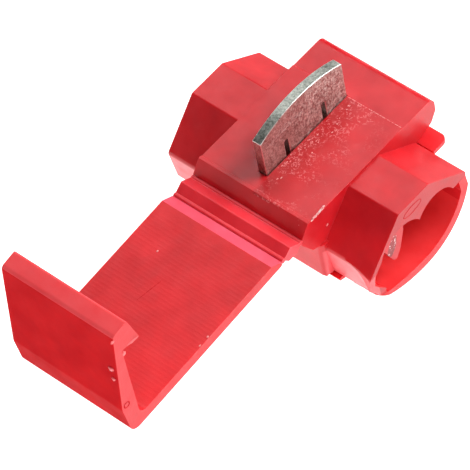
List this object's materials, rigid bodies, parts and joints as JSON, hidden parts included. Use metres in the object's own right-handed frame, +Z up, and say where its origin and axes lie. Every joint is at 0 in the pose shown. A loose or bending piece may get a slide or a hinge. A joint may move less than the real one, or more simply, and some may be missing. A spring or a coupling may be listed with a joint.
{
  "type": "t-tap connector",
  "caption": "Quick-splice T-tap wire connector: two side-by-side wire channels, an upright contact blade, an open hinged cover with a latch and a hinged flap.",
  "frame": {"origin": "centre of the bounding box at its lowest point, on the table", "axes": "+X along the wires towards the tap channel's blind end, +Y from the open cover towards the nose, +Z up as the connector lies on a table"},
  "size_m": [0.02, 0.0356, 0.0135],
  "materials": {
    "red_moulding": "slightly translucent red polypropylene, satin, with fine mould texture on the block",
    "plated_contact": "tin-plated brass strip, smooth faces and a dull sheared top edge"
  },
  "bodies": {
    "housing": {"housing": "red_moulding"},
    "hinge_bar": {"hinge_bar": "red_moulding"},
    "cover": {"cover": "red_moulding"},
    "run_flap": {"run_flap": "red_moulding"},
    "contact_blade": {"contact_blade": "plated_contact"}
  },
  "joints": [
    {"name": "cover_hinge_lower", "type": "hinge", "parent": "housing", "child": "hinge_bar", "pos_m": [0, 0.00237, 0.00591], "axis": [-1, 0, 0], "range_deg": [0, 85]},
    {"name": "cover_hinge_upper", "type": "hinge", "parent": "hinge_bar", "child": "cover", "pos_m": [0, 0.00047, 0.00544], "axis": [-1, 0, 0], "range_deg": [0, 85]},
    {"name": "blade_press", "type": "slide", "parent": "housing", "child": "contact_blade", "axis": [0, 0.2382, -0.9712], "range_m": [0, 0.0046]},
    {"name": "flap_hinge", "type": "hinge", "parent": "housing", "child": "run_flap", "pos_m": [0, 0.00567, 0.00062], "axis": [-1, 0, 0], "range_deg": [0, 100]}
  ],
  "couplings": [
    {"joint": "cover_hinge_lower", "follows": "blade_press", "rad_per_m": 322.51}
  ]
}
